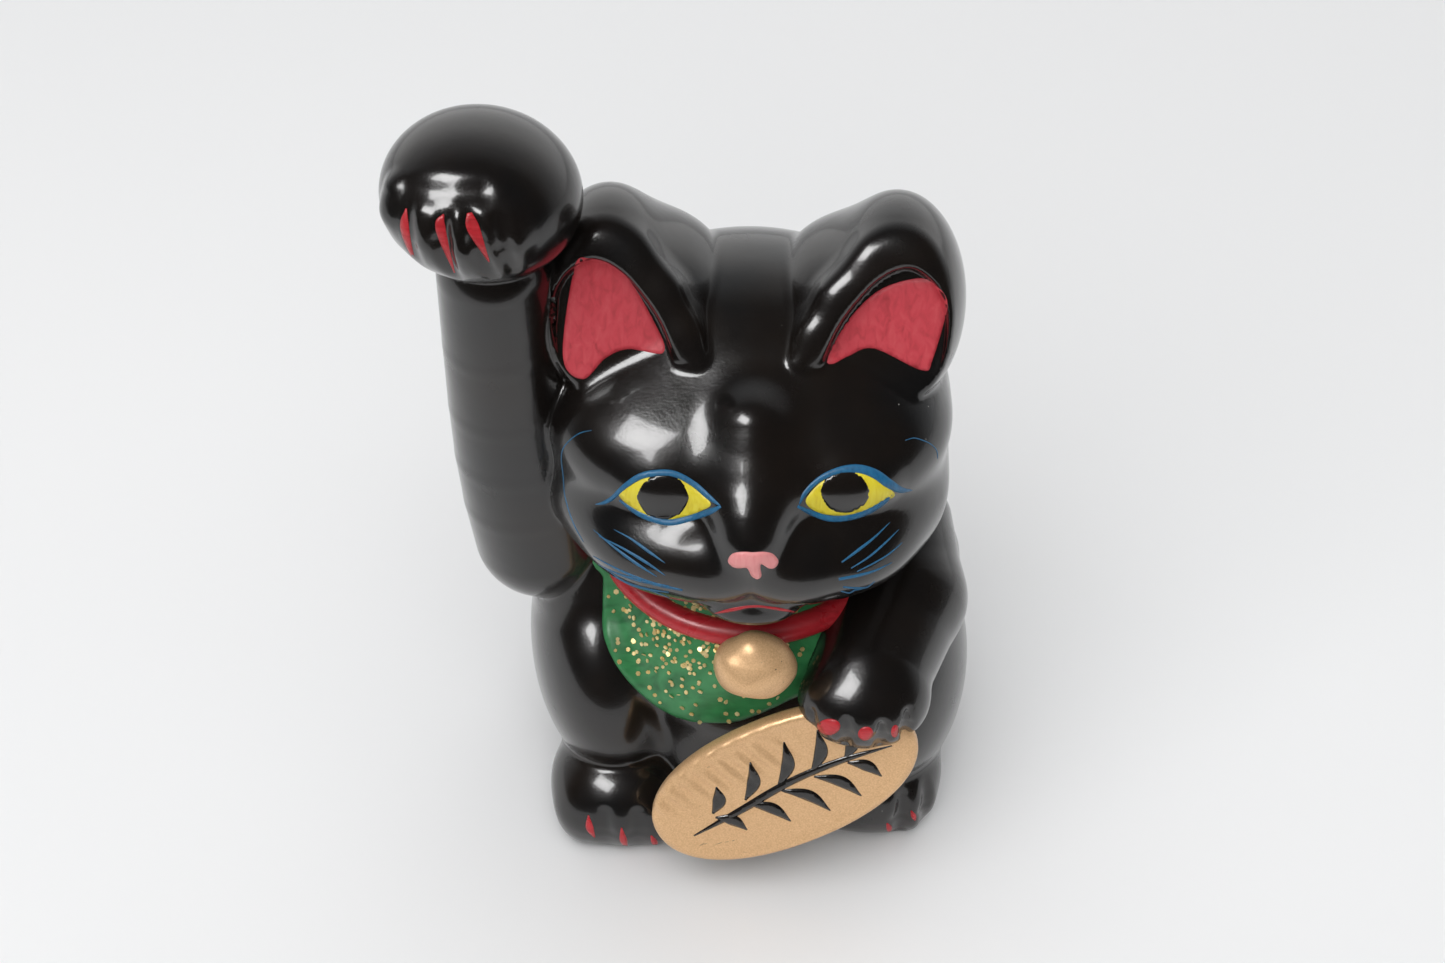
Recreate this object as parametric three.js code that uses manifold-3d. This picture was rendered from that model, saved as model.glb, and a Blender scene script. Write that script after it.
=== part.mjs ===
// A seated beckoning cat: a hollow slip-cast ceramic coin bank with its right paw raised.
// Millimetres, +Z up. The cat faces -Y, and its right side is at -X.
// Each casting is a smooth field of ellipsoids and round cones. A sphere or capsule grid is
// drawn in onto the field's surface along rays, and the solids are then joined and cut.
import * as THREE from "three";
import { mergeVertices } from "three/addons/utils/BufferGeometryUtils.js";
import Module from "manifold-3d";

const wasm = await Module();
wasm.setup();

// Driving dimensions
const WALL = 4; // thickness of the slip-cast wall
const GAP = 0.3; // between pieces that are luted together
const CHEST_TOP = 88; // height at which the body's dome would close, inside the head
const HEAD_CENTRE = new THREE.Vector3(0, 1, 103);
const HEAD_RADII = new THREE.Vector3(43.5, 40, 37);
const EAR_SPREAD = 30; // from the head's middle to each ear's middle
const EAR_RIM = 3.4; // thickness of the rim round an ear's hollow front
const EAR_DEPTH = 4.6; // from the rim to the hollow's floor
const RIGHT_HIND_PAW = { x: -28.5, y: -31 };
const LEFT_HIND_PAW = { x: 30, y: -26 }; // drawn back a little, behind the oval coin
const ARM_X = -53.4; // axis of the upright forearm
const ARM_Y = -8;
const ARM_RADIUS = 12.3; // at the wrist
const ELBOW_Z = 69.5;
const WRIST_Z = 145;
const PAW_Z = 165.5;
const NECK_RADIUS = 19; // opening through which coins fall from the head into the body
const SLOT = { width: 32, height: 5, z: 104 }; // a coin of 28 mm passes
const VENT_Z = 62; // height of the passage between the body and the raised arm
const BASE_THICKNESS = 6;
const HOLE = { radius: 15, y: 4 }; // base hole
const RECESS = { radius: 19, depth: 2.4 }; // keeps the stopper's flange off the table
const STOPPER = { flangeRadius: 18.2, flangeThickness: 1.7, taper: 1.2, length: 11 };
const COIN = { halfLength: 33, halfWidth: 17.5, thickness: 4.8, slant: 0.56, lean: 0.21 };
const COIN_CENTRE = new THREE.Vector3(10, -49.8, 32);
const BELL_CENTRE = new THREE.Vector3(2.8, -45, 66);
const BELL_RADII = new THREE.Vector3(9.2, 7, 8);
const COLLAR = { radius: 33, thickness: 7, height: 7.4, tilt: 0.18, centre: new THREE.Vector3(0, -2, 71) };
const BIB_THICKNESS = 2;

const v = (x, y, z) => new THREE.Vector3(x, y, z);

// ---------------------------------------------------------------- fields

const ellipsoid = (centre, radii, tilt = new THREE.Euler()) => {
  const turn = new THREE.Matrix4().makeRotationFromEuler(tilt).invert();
  return (p) => {
    const q = p.clone().sub(centre).applyMatrix4(turn).divide(radii);
    const k = q.length();
    return (k * (k - 1)) / Math.max(q.divide(radii).length(), 1e-9);
  };
};

const roundCone = (from, to, startRadius, endRadius = startRadius) => {
  const axis = to.clone().sub(from);
  return (p) => {
    const along = THREE.MathUtils.clamp(
      p.clone().sub(from).dot(axis) / axis.lengthSq(), 0, 1);
    const nearest = from.clone().addScaledVector(axis, along);
    return p.distanceTo(nearest) - THREE.MathUtils.lerp(startRadius, endRadius, along);
  };
};

const roundBox = (centre, half, radius) => (p) => {
  const q = p.clone().sub(centre);
  q.set(Math.abs(q.x), Math.abs(q.y), Math.abs(q.z)).sub(half).addScalar(radius);
  const inside = Math.min(Math.max(q.x, q.y, q.z), 0);
  return q.max(v(0, 0, 0)).length() + inside - radius;
};

// A flat round disc with a rounded edge.
const disc = (centre, radius, half, edge) => (p) => {
  const out = Math.hypot(p.x - centre.x, p.y - centre.y) - radius + edge;
  const up = Math.abs(p.z - centre.z) - half + edge;
  return Math.hypot(Math.max(out, 0), Math.max(up, 0)) + Math.min(Math.max(out, up), 0) - edge;
};

const smoothMin = (a, b, k) => {
  const h = Math.max(k - Math.abs(a - b), 0) / k;
  return Math.min(a, b) - (h * h * k) / 4;
};

const blend = (k, first, ...rest) => (p) =>
  rest.reduce((sum, field) => smoothMin(sum, field(p), k), first(p));

const trim = (k, field, cutter) => (p) => -smoothMin(-field(p), -cutter(p), k);

// A field on the +X side, and its mirror image on the other side.
const mirrored = (field) => (p) => field(v(Math.abs(p.x), p.y, p.z));

const halfSpace = (point, normal) => {
  const n = normal.clone().normalize();
  return (p) => p.clone().sub(point).dot(n);
};

// ---------------------------------------------------------------- the cat's shape

const headDome = blend(
  8,
  ellipsoid(HEAD_CENTRE, HEAD_RADII),
  mirrored(ellipsoid(v(20, -12, 91), v(24, 23, 19))), // cheeks
  ellipsoid(v(0, -23, 87), v(32, 20, 15)), // jaw
  mirrored(ellipsoid(v(24, -10, 118), v(18, 23.5, 14))), // brows
);

// An ear is a deep hood. Its front is cut back to a sloping rim, and hollowed inside the rim.
const earHood = blend(
  7,
  ellipsoid(v(EAR_SPREAD + 1, -1, 134), v(14.7, 23, 22.8)),
  ellipsoid(v(EAR_SPREAD - 8, 3, 127), v(17.5, 24, 18.5)),
);
const earFront = (depth) => (p) =>
  halfSpace(v(EAR_SPREAD, -9.5, 152), v(0, -0.86, 0.51))(p) + depth;
const earHollow = trim(1, (p) => earHood(p) + EAR_RIM, (p) => -earFront(EAR_DEPTH)(p));
const ear = trim(3, earHood, earFront(0));

const headField = blend(
  4,
  headDome,
  mirrored(ear),
  roundCone(v(0, -32, 117), v(0, -41.5, 101), 5, 6), // bridge of the nose
  mirrored(ellipsoid(v(7, -41, 91), v(8.5, 6, 7))), // whisker pads
  ellipsoid(v(0, -40, 79), v(9, 5, 4)), // chin
  mirrored(ellipsoid(v(19, -31.5, 110.5), v(11.5, 7.2, 6.5))), // eyes
);

const torsoField = blend(
  10,
  ellipsoid(v(0, 3, 42), v(42, 42, CHEST_TOP - 42)),
  disc(v(0, 3, 14), 42, 14, 12), // the flat seat
);
const bodyField = blend(
  6,
  torsoField,
  mirrored(ellipsoid(v(31, -2, 26), v(21.5, 37, 27))), // haunches
  mirrored(ellipsoid(v(34, 0, 56), v(15, 18, 13))), // shoulders
  ellipsoid(v(-36, 0, 62), v(16, 20, 14)), // the raised one
);

const hindPawField = ({ x, y }) => blend(
  6,
  ellipsoid(v(x, y, 11), v(16.5, 16.5, 12.5)),
  roundBox(v(x, y, 6.5), v(14.5, 14.5, 7), 6.5),
);

const raisedArmField = blend(
  3,
  roundCone(v(ARM_X + 7, ARM_Y, ELBOW_Z), v(ARM_X + 3, ARM_Y, 94), ARM_RADIUS + 2, ARM_RADIUS + 1.5),
  roundCone(v(ARM_X + 3, ARM_Y, 94), v(ARM_X, ARM_Y, WRIST_Z), ARM_RADIUS + 1.5, ARM_RADIUS),
  ellipsoid(v(ARM_X - 2, ARM_Y, PAW_Z), v(20.8, 20.5, 16.5), new THREE.Euler(0, 0.14, 0)),
  ...[-15, -8, -1, 6].map((x) =>
    roundCone(v(ARM_X + x, -20, PAW_Z + 4), v(ARM_X + x, -21.5, PAW_Z - 4), 5.6, 5.2)), // toes
);

const loweredArmField = blend(
  4,
  roundCone(v(30, -2, 66), v(34, -17, 59), 15, 14.5),
  roundCone(v(34, -17, 59), v(27, -38, 55), 14.5, 12),
  ellipsoid(v(26, -43, 54), v(13.5, 11, 10.5)),
);

const tailField = blend(
  4,
  roundCone(v(8, 44, 11), v(26, 40, 12), 8.5, 8),
  roundCone(v(26, 40, 12), v(34, 32, 28), 8, 6.5),
);

// ---------------------------------------------------------------- solids

const REACH = 90; // rays start this far out, beyond every surface

function solid(geometry) {
  const bare = geometry.clone();
  bare.deleteAttribute("normal");
  bare.deleteAttribute("uv");
  bare.clearGroups();
  const merged = mergeVertices(bare, 1e-4);
  return new wasm.Manifold(new wasm.Mesh({
    numProp: 3,
    vertProperties: new Float32Array(merged.attributes.position.array),
    triVerts: new Uint32Array(merged.index.array),
  }));
}

// The outermost place on the ray from start along direction where field equals level.
function surfacePoint(field, level, start, direction) {
  const at = (t) => field(start.clone().addScaledVector(direction, t)) - level;
  const step = REACH / 120;
  let inside = REACH;
  while (inside > 0 && at(inside) > 0) inside -= Math.max(at(inside) / 2, step);
  inside = Math.max(inside, 0);
  let outside = inside + 2 * step;
  while (at(outside) < 0) outside += step;
  for (let i = 0; i < 20; i++) {
    const middle = (inside + outside) / 2;
    if (at(middle) > 0) outside = middle;
    else inside = middle;
  }
  return start.clone().addScaledVector(direction, inside);
}

// A capsule grid round the line from one point to another, drawn in onto field = level.
function cast(field, level, from, to, { radial, rounds, lengthwise }) {
  const length = from.distanceTo(to);
  const grid = new THREE.CapsuleGeometry(1, length, rounds, radial, lengthwise);
  grid.rotateX(Math.PI / 2); // its axis along +Z
  const axis = to.clone().sub(from).normalize();
  const turn = new THREE.Quaternion().setFromUnitVectors(v(0, 0, 1), axis);
  const place = grid.attributes.position;
  for (let i = 0; i < place.count; i++) {
    const p = new THREE.Vector3().fromBufferAttribute(place, i);
    const along = THREE.MathUtils.clamp(p.z, -length / 2, length / 2);
    const direction = p.clone().sub(v(0, 0, along)).normalize().applyQuaternion(turn);
    const start = from.clone().addScaledVector(axis, along + length / 2);
    place.setXYZ(i, ...surfacePoint(field, level, start, direction));
  }
  return solid(grid);
}

// A geodesic sphere round a centre, drawn in onto field = level.
function globe(field, level, centre, detail) {
  const grid = new THREE.IcosahedronGeometry(1, detail);
  const place = grid.attributes.position;
  for (let i = 0; i < place.count; i++) {
    const direction = new THREE.Vector3().fromBufferAttribute(place, i).normalize();
    place.setXYZ(i, ...surfacePoint(field, level, centre, direction));
  }
  return solid(grid);
}

// A cylinder that stands on bottom.
const post = (bottom, radius, height) =>
  solid(new THREE.CylinderGeometry(radius, radius, height, 36)
    .rotateX(Math.PI / 2)
    .translate(bottom.x, bottom.y, bottom.z + height / 2));

// Everything below a height.
const below = (z) =>
  solid(new THREE.BoxGeometry(200, 200, 100).translate(0, 0, z - 50));

const BODY_CORE = v(0, 0, 40);
const ARM_AXIS = [v(ARM_X + 5, ARM_Y, ELBOW_Z), v(ARM_X, ARM_Y, PAW_Z)];
const LOWERED_AXIS = [v(31, -8, 62), v(27, -42, 54)];

const headOuter = (grow) => globe(headField, grow, HEAD_CENTRE, 11);
const bodyOuter = (grow) => globe(bodyField, grow, BODY_CORE, 9);
const raisedArmOuter = (grow) =>
  cast(raisedArmField, grow, ...ARM_AXIS, { radial: 20, rounds: 6, lengthwise: 10 });
const loweredArmOuter = (grow) =>
  cast(loweredArmField, grow, ...LOWERED_AXIS, { radial: 18, rounds: 5, lengthwise: 4 });

function collarRing(grow) {
  const bead = new THREE.EllipseCurve(
    COLLAR.radius, 0, COLLAR.thickness / 2 + grow, COLLAR.height / 2 + grow);
  return solid(new THREE.LatheGeometry(bead.getPoints(12), 48)
    .rotateX(Math.PI / 2)
    .rotateX(COLLAR.tilt)
    .translate(COLLAR.centre.x, COLLAR.centre.y, COLLAR.centre.z));
}

// An oval plate with rounded rims. It stands in the XZ plane, and is then slanted and leaned back.
function coin(grow) {
  const rim = 1.6; // radius of the rounding
  const outline = new THREE.Shape();
  outline.absellipse(0, 0, COIN.halfLength - rim + grow, COIN.halfWidth - rim + grow, 0, 2 * Math.PI);
  const depth = COIN.thickness - 2 * rim + 2 * grow;
  return solid(new THREE.ExtrudeGeometry(outline, {
    depth, bevelThickness: rim, bevelSize: rim, bevelSegments: 2, curveSegments: 20 })
    .translate(0, 0, -depth / 2)
    .rotateX(Math.PI / 2)
    .rotateY(-COIN.slant)
    .rotateX(-COIN.lean)
    .translate(COIN_CENTRE.x, COIN_CENTRE.y, COIN_CENTRE.z));
}

const bell = (grow) =>
  solid(new THREE.SphereGeometry(1, 24, 14)
    .scale(BELL_RADII.x + grow, BELL_RADII.y + grow, BELL_RADII.z + grow)
    .translate(BELL_CENTRE.x, BELL_CENTRE.y, BELL_CENTRE.z));

// What each neighbour is cut by, so that the pieces keep a thin bed of slip between them.
const skin = {
  head: headOuter(GAP),
  body: bodyOuter(GAP),
  raisedArm: raisedArmOuter(GAP),
  loweredArm: loweredArmOuter(GAP),
  collar: collarRing(GAP),
  coin: coin(GAP),
  bell: bell(GAP),
};
const cutBy = (made, ...others) => others.reduce((rest, other) => rest.subtract(other), made);

// The passage between the body and the raised arm.
const vent = solid(new THREE.CylinderGeometry(5, 5, 34, 16)
  .rotateZ(Math.PI / 2)
  .translate(ARM_X + 17, ARM_Y, VENT_Z));

function bodyCasting() {
  const hollow = globe(bodyField, -WALL, BODY_CORE, 4).subtract(below(BASE_THICKNESS));
  const hole = post(v(0, HOLE.y, -1), HOLE.radius, 12);
  const recess = post(v(0, HOLE.y, -1), RECESS.radius, 1 + RECESS.depth);
  return cutBy(bodyOuter(0), below(0), hollow, skin.head, hole, recess, vent);
}

function headCasting() {
  const slot = new THREE.Shape();
  const end = SLOT.height / 2;
  const reach = SLOT.width / 2 - end;
  slot.absarc(reach, 0, end, -Math.PI / 2, Math.PI / 2);
  slot.absarc(-reach, 0, end, Math.PI / 2, (3 * Math.PI) / 2);
  const cutter = solid(new THREE.ExtrudeGeometry(slot, {
    depth: 40, bevelEnabled: false, curveSegments: 5 })
    .rotateX(Math.PI / 2)
    .translate(HEAD_CENTRE.x, 60, SLOT.z));
  const hollow = globe(headDome, -WALL, HEAD_CENTRE, 4);
  const dome = globe(headDome, 0, HEAD_CENTRE, 11);
  const neck = post(v(0, 2, 50), NECK_RADIUS, 40);
  const inEar = v(EAR_SPREAD, -18, 138);
  const rightEar = globe(earHollow, 0, inEar, 5);
  const leftEar = rightEar.mirror([1, 0, 0]);
  return cutBy(headOuter(0), hollow, neck, cutter, rightEar.subtract(dome), leftEar.subtract(dome));
}

function raisedArmCasting() {
  const hollow = cast(raisedArmField, -WALL, ...ARM_AXIS, { radial: 12, rounds: 3, lengthwise: 5 });
  return cutBy(raisedArmOuter(0), hollow, skin.head, skin.body, skin.collar, vent);
}

const loweredArmCasting = () =>
  cutBy(loweredArmOuter(0), skin.body, skin.head, skin.collar, skin.coin, skin.bell);

function hindPaw({ x, y }) {
  const ends = [v(x, y + 7, 9), v(x, y - 5, 9)];
  const whole = cast(hindPawField({ x, y }), 0, ...ends, { radial: 18, rounds: 5, lengthwise: 2 });
  return cutBy(whole, below(0), skin.body, skin.coin);
}

function tail() {
  const whole = cast(tailField, 0, v(12, 43, 11), v(30, 37, 18), { radial: 16, rounds: 5, lengthwise: 4 });
  return cutBy(whole, below(0), skin.body);
}

// The bib's outline seen from the front, laid over the chest between two skins.
function bib() {
  const outline = new THREE.Shape();
  outline.moveTo(-34, 72);
  outline.bezierCurveTo(-33, 54, -20, 43, -2, 43);
  outline.bezierCurveTo(16, 43, 29, 54, 30, 72);
  outline.closePath();
  const curtain = solid(new THREE.ExtrudeGeometry(outline, {
    depth: 50, bevelEnabled: false, curveSegments: 12 })
    .rotateX(Math.PI / 2)
    .translate(0, -5, 0));
  const chest = (level) => globe(torsoField, level, BODY_CORE, 7);
  const sheet = chest(BIB_THICKNESS).subtract(chest(GAP)).intersect(curtain);
  const { body, head, raisedArm, loweredArm, collar } = skin;
  return cutBy(sheet, body, head, raisedArm, loweredArm, collar, skin.coin, skin.bell);
}

// A rubber plug with a flange, seen in section from its axis outwards.
function stopper() {
  const top = RECESS.depth - GAP;
  const bottom = top - STOPPER.flangeThickness;
  const neck = HOLE.radius - GAP;
  const profile = [
    [0, bottom],
    [STOPPER.flangeRadius, bottom],
    [STOPPER.flangeRadius, top],
    [neck, top],
    [neck - STOPPER.taper, top + STOPPER.length],
    [0, top + STOPPER.length],
  ];
  return solid(new THREE.LatheGeometry(profile.map(([r, z]) => new THREE.Vector2(r, z)), 36)
    .rotateX(Math.PI / 2)
    .translate(0, HOLE.y, 0));
}

// ---------------------------------------------------------------- assembly

// The largest body of a cut piece, without the slivers that its neighbours leave behind them.
const mainBody = (made) =>
  made.decompose().reduce((best, next) => (next.volume() > best.volume() ? next : best));

function meshOf(name, made, finish) {
  const whole = mainBody(made).getMesh();
  const geometry = new THREE.BufferGeometry();
  geometry.setAttribute("position", new THREE.BufferAttribute(whole.vertProperties, 3));
  geometry.setIndex(new THREE.BufferAttribute(whole.triVerts, 1));
  geometry.computeVertexNormals();
  const mesh = new THREE.Mesh(geometry, new THREE.MeshStandardMaterial(finish));
  mesh.name = name;
  return mesh;
}

const blackGlaze = { color: "#0d0c0c", roughness: 0.15, metalness: 0 };
const goldPaint = { color: "#c79a5b", roughness: 0.4, metalness: 0.5 };
const redPaint = { color: "#b3202f", roughness: 0.4, metalness: 0 };
const greenPaint = { color: "#1f6b33", roughness: 0.45, metalness: 0 };
const paleRubber = { color: "#e2ddd0", roughness: 0.8, metalness: 0 };

const figure = new THREE.Group();
figure.add(
  meshOf("body_casting", bodyCasting(), blackGlaze),
  meshOf("head_casting", headCasting(), blackGlaze),
  meshOf("raised_arm_casting", raisedArmCasting(), blackGlaze),
  meshOf("lowered_arm_casting", loweredArmCasting(), blackGlaze),
  meshOf("right_hind_paw", hindPaw(RIGHT_HIND_PAW), blackGlaze),
  meshOf("left_hind_paw", hindPaw(LEFT_HIND_PAW), blackGlaze),
  meshOf("tail", tail(), blackGlaze),
  meshOf("oval_coin", cutBy(coin(0), skin.body), goldPaint),
  meshOf("collar_band", cutBy(collarRing(0), skin.head, skin.body, skin.bell), redPaint),
  meshOf("chest_bib", bib(), greenPaint),
  meshOf("bell", cutBy(bell(0), skin.body, skin.head), goldPaint),
  meshOf("base_stopper", stopper(), paleRubber),
);

// The origin is under the middle of the bounding box, at the height of the table.
const middle = new THREE.Box3().setFromObject(figure).getCenter(new THREE.Vector3());
figure.position.set(-middle.x, -middle.y, 0);

export default figure;
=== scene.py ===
"""The looks of the beckoning cat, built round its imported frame.

Shapes are smooth fields in millimetres, in the modelling frame of the castings: x to the viewer's
right, y away from the viewer, z up, with the base hole at x = 0, y = 4. Each field is meshed with
surface nets, and paint is laid on it as thin films.
"""

import math

import bpy
import numpy as np
from mathutils import Matrix, Vector
from mathutils.geometry import delaunay_2d_cdt


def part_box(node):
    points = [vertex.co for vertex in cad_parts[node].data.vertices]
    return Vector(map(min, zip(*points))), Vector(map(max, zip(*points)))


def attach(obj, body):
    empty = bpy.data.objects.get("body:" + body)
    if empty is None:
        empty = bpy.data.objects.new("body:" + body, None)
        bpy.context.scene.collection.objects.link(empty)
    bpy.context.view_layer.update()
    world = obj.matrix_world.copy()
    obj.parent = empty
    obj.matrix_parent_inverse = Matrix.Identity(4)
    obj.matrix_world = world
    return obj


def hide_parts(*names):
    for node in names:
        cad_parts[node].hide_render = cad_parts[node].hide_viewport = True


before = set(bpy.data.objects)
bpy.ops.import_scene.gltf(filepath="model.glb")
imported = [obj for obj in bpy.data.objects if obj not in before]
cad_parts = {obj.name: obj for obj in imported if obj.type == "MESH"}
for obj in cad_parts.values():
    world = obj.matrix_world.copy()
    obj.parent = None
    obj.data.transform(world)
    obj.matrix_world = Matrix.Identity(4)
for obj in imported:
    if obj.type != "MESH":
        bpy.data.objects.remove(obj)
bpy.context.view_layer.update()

MM = 0.001
COARSER = 1.0


def vec(*numbers):
    return np.array(numbers, np.float32)


HOLE_Y = 4  # the middle of the base hole, where the stopper sits
stopper_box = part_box("base_stopper")
FOOT = (np.array(stopper_box[0]) + np.array(stopper_box[1])) / 2 - np.array((0, HOLE_Y * MM, 0))
FOOT[2] = 0

# ---------------------------------------------------------------- fields


def join(a, b, k):
    """Smooth union. k is the width of the fillet in millimetres."""
    h = np.maximum(k - np.abs(a - b), 0) / k
    return np.minimum(a, b) - h * h * k / 4


def carve(a, b, k):
    """What is left of a after b is cut out of it, with a rounded edge."""
    return -join(-a, b, k)


def ellipsoid(p, centre, radii, turned=None):
    q = p - vec(*centre)
    if turned is not None:
        q = q @ turned
    radii = vec(*radii)
    k = np.linalg.norm(q / radii, axis=-1)
    return k * (k - 1) / np.maximum(np.linalg.norm(q / radii**2, axis=-1), 1e-6)


def rod(p, start, end, start_radius, end_radius):
    start, axis = vec(*start), vec(*end) - vec(*start)
    along = np.clip((p - start) @ axis / (axis @ axis), 0, 1)
    near = np.linalg.norm(p - start - along[..., None] * axis, axis=-1)
    return near - start_radius - (end_radius - start_radius) * along


def chain(p, points, k):
    """Rods through (x, y, z, radius) points."""
    shape = None
    for a, b in zip(points, points[1:]):
        link = rod(p, a[:3], b[:3], a[3], b[3])
        shape = link if shape is None else join(shape, link, k)
    return shape


def round_box(p, centre, half, radius):
    q = np.abs(p - vec(*centre)) - vec(*half) + radius
    return np.linalg.norm(np.maximum(q, 0), axis=-1) + np.minimum(q.max(-1), 0) - radius


def disc(p, centre, radius, half, edge):
    q = p - vec(*centre)
    out = np.hypot(q[..., 0], q[..., 1]) - radius + edge
    up = np.abs(q[..., 2]) - half + edge
    corner = np.hypot(np.maximum(out, 0), np.maximum(up, 0))
    return corner + np.minimum(np.maximum(out, up), 0) - edge


def turn(axis, degrees):
    t = math.radians(degrees)
    c, s = math.cos(t), math.sin(t)
    rows = {
        "x": [[1, 0, 0], [0, c, -s], [0, s, c]],
        "y": [[c, 0, s], [0, 1, 0], [-s, 0, c]],
        "z": [[c, -s, 0], [s, c, 0], [0, 0, 1]],
    }
    return np.array(rows[axis], np.float32)


def both_sides(p):
    q = p.copy()
    q[..., 0] = np.abs(q[..., 0])
    return q


def slope(field, p, step=0.12):
    """The field's gradient."""
    found = np.empty_like(p)
    for axis in range(3):
        move = np.zeros(3, np.float32)
        move[axis] = step
        found[:, axis] = (field(p + move) - field(p - move)) / (2 * step)
    return found


def unit(vectors):
    return vectors / np.maximum(np.linalg.norm(vectors, axis=-1, keepdims=True), 1e-9)


# ---------------------------------------------------------------- the cat's castings


def head_dome(p):
    q = both_sides(p)
    shape = ellipsoid(p, (0, 4, 103), (43.5, 35, 37))
    shape = join(shape, ellipsoid(p, (0, -12, 117.2), (38, 27, 14), turn("x", 22)), 6)
    shape = join(shape, ellipsoid(q, (20, -14.6, 93.2), (24, 23, 18.6)), 9)
    shape = join(shape, ellipsoid(p, (0, -26.2, 90), (31, 20, 14.4)), 8)
    return join(shape, ellipsoid(q, (18, -11.5, 110.5), (25, 25, 13.2)), 8)


def ear_hood(q):
    shape = ellipsoid(q, (30.5, 0, 134), (15.1, 23.5, 22.9))
    return join(shape, ellipsoid(q, (21.5, 4, 128), (18, 24, 18.3)), 7)


EAR_Y, EAR_Z = -9.5, 151.5  # a point at the top of the ear's front plane
LEAN, RISE = 0.51, 0.86  # how far back and how far up the plane goes for each millimetre along it


def on_ear(side, up, depth):
    """The point at (side, up) on the ear's sloping front plane, a depth behind it."""
    return side, EAR_Y + LEAN * up + RISE * depth, EAR_Z + RISE * up - LEAN * depth


def rounded_polygon(x, y, corners, k):
    """A convex outline, its corners in clockwise order, rounded over about k."""
    shape = None
    for (x0, y0), (x1, y1) in zip(corners, corners[1:] + corners[:1]):
        length = math.hypot(x1 - x0, y1 - y0)
        edge = ((x - x0) * (y0 - y1) + (y - y0) * (x1 - x0)) / length
        shape = edge if shape is None else -join(-shape, -edge, k)
    return shape


EAR_PANEL = [
    (32.5, -0.5), (36.5, -2), (40.8, -7), (42.3, -14), (41.0, -24), (36, -33),
    (12.5, -33), (14.0, -24), (16.3, -17), (20.2, -10), (27.5, -2.3),
]
EAR_CREST = [(31.5, 0, 3.2), (26.5, -1.2, 3.1), (19, -8.6, 3.0), (14, -16.4, 2.7), (10.6, -22.0, 2.3)]


def out_of_ear(q):
    """The distance in front of the ear's front plane."""
    return (q[..., 2] - EAR_Z) * LEAN - (q[..., 1] - EAR_Y) * RISE


def ear(q):
    """A thick hood, cut to a sloping front with a raised crest, and a panel sunk inside the crest."""
    crest = [(*on_ear(u, w, 2.6), radius) for u, w, radius in EAR_CREST]
    shape = join(ear_hood(q), chain(q, crest, 4), 6)
    shape = -join(-shape, -out_of_ear(q), 3.5)
    return carve(shape, ear_panel(q), 1.6)


def ear_panel(q):
    """The room in front of the panel that is sunk inside the crest."""
    up = (q[..., 1] - EAR_Y) * LEAN + (q[..., 2] - EAR_Z) * RISE
    out = out_of_ear(q)
    panel = rounded_polygon(q[..., 0], up, EAR_PANEL, 2)
    return -join(-(panel - out * 0.15), out + 4.4 - up * 0.08, 1.0)


NOSE_BRIDGE = [(1.5, -28.5, 123, 5), (1.8, -35.8, 111, 6.4), (1.5, -40.6, 107, 6.7), (1.5, -43.4, 103.8, 6.8)]
MOUTH_GROOVE = [(0, -49.4, 89.6, 1.2), (5, -48.9, 87.2, 1.1), (10.5, -46.6, 87.4, 0.9)]


def head(p):
    shape = join(head_dome(p), ear(both_sides(p)), 1.3)
    shape = join(shape, chain(p, NOSE_BRIDGE, 4), 9)
    shape = join(shape, ellipsoid(both_sides(p - vec(1, 0, 0)), (15, -26, 94), (22, 21, 13)), 5)
    s = both_sides(p - vec(2, 0, 0))
    shape = join(shape, ellipsoid(s, (8, -42.7, 95.1), (9.7, 6.6, 7.6)), 5)
    shape = carve(shape, chain(s, MOUTH_GROOVE, 1), 2.0)
    shape = join(shape, ellipsoid(p, (-17, -31.0, 109.4), (11, 7.4, 7.0)), 3)
    shape = join(shape, ellipsoid(p, (21, -30.2, 111), (11, 7.4, 7.0)), 3)
    return join(shape, ellipsoid(p, (2, -42.4, 83.0), (9.5, 5, 4.2)), 3)


def torso(p):
    return join(ellipsoid(p, (0, 3, 42), (42, 42, 46)), disc(p, (0, 3, 14), 42, 14, 12), 10)


def body(p):
    shape = join(torso(p), ellipsoid(p, (31, -2, 26), (21.5, 37, 27)), 3.5)
    shape = join(shape, ellipsoid(p, (-30.5, -3, 31), (20.5, 36.5, 33.5), turn("y", -9)), 3.5)
    shape = join(shape, ellipsoid(both_sides(p), (34, 0, 56), (15, 18, 13)), 8)
    return join(shape, ellipsoid(p, (-36, 0, 62), (16, 20, 14)), 8)


def hind_paw(p, x, y, clefts):
    foot = ellipsoid(p, (x, y, 11), (16.5, 16.5, 12.5))
    foot = join(foot, round_box(p, (x, y, 6.5), (14.5, 14.5, 7), 6.5), 6)
    for a, b in clefts:
        cleft = [(a, b + 1.5, 15, 0.3), (a, b - 0.4, 9, 1.3), (a, b + 0.6, 3, 0.9)]
        foot = carve(foot, chain(p, cleft, 1), 3)
    return foot


def right_hind_paw(p):
    return hind_paw(p, -28.5, -31, ((-31.6, -48.4), (-23.8, -48.2)))


def left_hind_paw(p):
    return hind_paw(p, 30, -24.5, ((37.6, -40.0), (43.6, -36.6)))


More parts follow.
